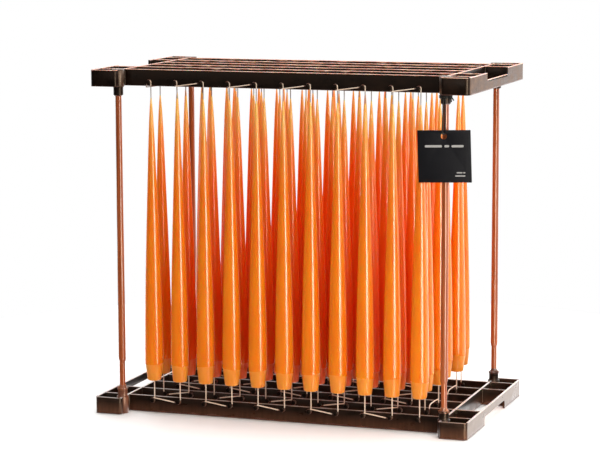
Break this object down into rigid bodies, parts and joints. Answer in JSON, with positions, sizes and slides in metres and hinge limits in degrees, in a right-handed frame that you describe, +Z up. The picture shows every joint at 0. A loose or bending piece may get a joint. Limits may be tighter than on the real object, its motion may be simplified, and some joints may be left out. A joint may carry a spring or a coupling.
{
  "type": "taper candle dipping frame",
  "caption": "Open frame of two ribbed plastic grids on four rods, with orange dipped tapers strung in rows on one wick, and a square card tag on a cord.",
  "frame": {"origin": "middle of the frame's footprint, on the surface that the bottom grid stands on", "axes": "+X to the right along the long side, -Y the front with the hang tag, +Z up along the tapers"},
  "size_m": [0.5417, 0.302, 0.485],
  "materials": {
    "grid_plastic": "dark brown moulded plastic with a thin skin of dried wax on its edges",
    "waxed_rod": "slim metal rod under a translucent orange-brown wax coat",
    "taper_wax": "glossy dyed candle wax with a matt cut foot",
    "black_cord": "thin black twisted cord",
    "black_card": "matt black card with pale printed marks"
  },
  "bodies": {
    "frame": {"bottom_grid": "grid_plastic", "top_grid": "grid_plastic", "front_left_rod": "waxed_rod", "front_right_rod": "waxed_rod", "back_left_rod": "waxed_rod", "back_right_rod": "waxed_rod", "taper_pair_row1_2_3": "taper_wax", "taper_pair_row1_4_5": "taper_wax", "taper_pair_row1_6_7": "taper_wax", "taper_pair_row1_8_9": "taper_wax", "taper_pair_row1_10_11": "taper_wax", "taper_pair_row2_2_3": "taper_wax", "taper_pair_row2_4_5": "taper_wax", "taper_pair_row2_6_7": "taper_wax", "taper_pair_row2_8_9": "taper_wax", "taper_pair_row2_10_11": "taper_wax", "taper_pair_row3_2_3": "taper_wax", "taper_pair_row3_4_5": "taper_wax", "taper_pair_row3_6_7": "taper_wax", "taper_pair_row3_8_9": "taper_wax", "taper_pair_row3_10_11": "taper_wax", "taper_pair_row4_2_3": "taper_wax", "taper_pair_row4_4_5": "taper_wax", "taper_pair_row4_6_7": "taper_wax", "taper_pair_row4_8_9": "taper_wax", "taper_pair_row4_10_11": "taper_wax", "taper_pair_row5_2_3": "taper_wax", "taper_pair_row5_4_5": "taper_wax", "taper_pair_row5_6_7": "taper_wax", "taper_pair_row5_8_9": "taper_wax", "taper_pair_row5_10_11": "taper_wax", "taper_pair_row6_2_3": "taper_wax", "taper_pair_row6_4_5": "taper_wax", "taper_pair_row6_6_7": "taper_wax", "taper_pair_row6_8_9": "taper_wax", "taper_pair_row6_10_11": "taper_wax", "taper_pair_rows1_2_1": "taper_wax", "taper_pair_rows3_4_1": "taper_wax", "taper_pair_rows5_6_1": "taper_wax", "cord_noose": "black_cord"},
    "cord": {"tag_cord": "black_cord"},
    "tag": {"hang_tag": "black_card"}
  },
  "joints": [
    {"name": "cord_swing", "type": "hinge", "parent": "frame", "child": "cord", "pos_m": [0.2346, -0.1437, 0.4572], "axis": [-1, 0, 0], "range_deg": [0, 60]},
    {"name": "tag_turn", "type": "hinge", "parent": "cord", "child": "tag", "pos_m": [0.2346, -0.1443, 0.4094], "axis": [0, 1, 0], "range_deg": [-45, 45]}
  ]
}
